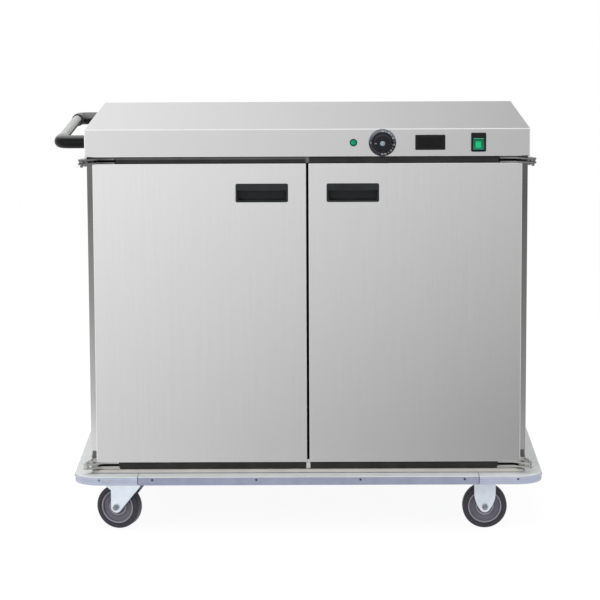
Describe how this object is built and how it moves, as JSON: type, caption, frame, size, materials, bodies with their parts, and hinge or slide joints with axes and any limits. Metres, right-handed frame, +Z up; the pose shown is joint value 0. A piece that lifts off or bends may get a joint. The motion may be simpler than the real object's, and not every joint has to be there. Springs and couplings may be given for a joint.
{
  "type": "heated hostess trolley",
  "caption": "Heated stainless hostess trolley on casters with two hinged doors, wire shelves, a thermostat control strip and a push handle.",
  "frame": {"origin": "on the floor in the middle of the footprint, push handle included", "axes": "+X along the length, away from the push handle; +Y towards the back; +Z up"},
  "size_m": [1.1522, 0.7624, 0.963],
  "materials": {
    "stainless_shell": "satin-polished stainless sheet",
    "stainless_hinge": "tumbled stainless plate",
    "stainless_liner": "plain mill stainless sheet",
    "shelf_wire": "bright plated wire",
    "heater_tube": "heat-darkened sheathed element",
    "mineral_wool": "bonded mineral wool board",
    "base_plate": "pale grey powder coat",
    "bumper_corner": "moulded pale grey PVC",
    "bumper_rail": "extruded pale grey PVC",
    "dark_screw": "blackened screw",
    "zinc_plate": "bright zinc-plated pressing",
    "zinc_bolt": "zinc-plated hardware",
    "hub_plastic": "moulded grey polypropylene",
    "tyre_rubber": "grey-black elastic rubber",
    "control_black": "moulded black ABS",
    "display_glass": "smoked acrylic window",
    "green_lens": "translucent green polycarbonate",
    "gland_nylon": "black nylon",
    "handle_elbow": "fine-grained black plastic",
    "handle_grip": "finely ribbed pale grey sleeve",
    "seal_rubber": "black silicone",
    "pull_plastic": "moulded black ABS"
  },
  "bodies": {
    "root": {"base_deck": "base_plate", "bumper_corners": "bumper_corner", "bumper_rails": "bumper_rail", "bumper_screws": "dark_screw", "caster_bolts": "zinc_bolt", "caster_plate_front_left": "zinc_plate", "caster_plate_rear_left": "zinc_plate", "fixed_fork_front_right": "zinc_plate", "fixed_fork_rear_right": "zinc_plate", "wheel_axle_front_right": "zinc_bolt", "wheel_axle_rear_right": "zinc_bolt", "outer_shell": "stainless_shell", "inner_liner": "stainless_liner", "insulation": "mineral_wool", "front_frame": "stainless_shell", "centre_partition": "stainless_liner", "shelf_runners": "stainless_liner", "left_shelves": "shelf_wire", "right_shelves": "shelf_wire", "heater_elements": "heater_tube", "heater_covers": "stainless_liner", "top_cap": "stainless_shell", "thermostat": "control_black", "dial_plate": "control_black", "pilot_lamp": "green_lens", "display_body": "control_black", "display_window": "display_glass", "switch_housing": "control_black", "cable_gland": "gland_nylon", "handle_arm_front": "handle_elbow", "handle_arm_rear": "handle_elbow", "handle_bar": "handle_grip", "hinge_brackets": "stainless_hinge"},
    "door_left": {"left_door_skin": "stainless_shell", "left_door_back": "stainless_liner", "left_door_core": "mineral_wool", "left_door_seals": "seal_rubber", "left_door_pull": "pull_plastic", "left_hinge_leaves": "stainless_hinge"},
    "door_right": {"right_door_skin": "stainless_shell", "right_door_back": "stainless_liner", "right_door_core": "mineral_wool", "right_door_seals": "seal_rubber", "right_door_pull": "pull_plastic", "right_hinge_leaves": "stainless_hinge"},
    "knob": {"dial_knob": "control_black"},
    "rocker": {"switch_rocker": "green_lens"},
    "fork_front_left": {"swivel_fork_front_left": "zinc_plate", "wheel_axle_front_left": "zinc_bolt"},
    "fork_rear_left": {"swivel_fork_rear_left": "zinc_plate", "wheel_axle_rear_left": "zinc_bolt"},
    "wheel_front_left": {"wheel_hub_front_left": "hub_plastic", "wheel_tyre_front_left": "tyre_rubber"},
    "wheel_rear_left": {"wheel_hub_rear_left": "hub_plastic", "wheel_tyre_rear_left": "tyre_rubber"},
    "wheel_front_right": {"wheel_hub_front_right": "hub_plastic", "wheel_tyre_front_right": "tyre_rubber"},
    "wheel_rear_right": {"wheel_hub_rear_right": "hub_plastic", "wheel_tyre_rear_right": "tyre_rubber"}
  },
  "joints": [
    {"name": "door_left_hinge", "type": "hinge", "parent": "root", "child": "door_left", "pos_m": [-0.5061, -0.349, 0.52525], "axis": [0, 0, 1], "range_deg": [-270, 0]},
    {"name": "door_right_hinge", "type": "hinge", "parent": "root", "child": "door_right", "pos_m": [0.5459, -0.349, 0.52525], "axis": [0, 0, 1], "range_deg": [0, 270]},
    {"name": "thermostat_turn", "type": "hinge", "parent": "root", "child": "knob", "pos_m": [0.1954, -0.355, 0.9305], "axis": [0, 1, 0], "range_deg": [0, 270]},
    {"name": "rocker_tilt", "type": "hinge", "parent": "root", "child": "rocker", "pos_m": [0.4194, -0.336, 0.9261], "axis": [1, 0, 0], "range_deg": [0, 18]},
    {"name": "swivel_front_left", "type": "hinge", "parent": "root", "child": "fork_front_left", "pos_m": [-0.4161, -0.29, 0.113], "axis": [0, 0, 1], "continuous": true},
    {"name": "swivel_rear_left", "type": "hinge", "parent": "root", "child": "fork_rear_left", "pos_m": [-0.4161, 0.29, 0.113], "axis": [0, 0, 1], "continuous": true},
    {"name": "spin_front_left", "type": "hinge", "parent": "fork_front_left", "child": "wheel_front_left", "pos_m": [-0.43322, -0.28444, 0.053], "axis": [0.309, 0.9511, 0], "continuous": true},
    {"name": "spin_rear_left", "type": "hinge", "parent": "fork_rear_left", "child": "wheel_rear_left", "pos_m": [-0.43322, 0.28444, 0.053], "axis": [-0.309, 0.9511, 0], "continuous": true},
    {"name": "spin_front_right", "type": "hinge", "parent": "root", "child": "wheel_front_right", "pos_m": [0.4409, -0.29, 0.053], "axis": [0, 1, 0], "continuous": true},
    {"name": "spin_rear_right", "type": "hinge", "parent": "root", "child": "wheel_rear_right", "pos_m": [0.4409, 0.29, 0.053], "axis": [0, 1, 0], "continuous": true}
  ]
}
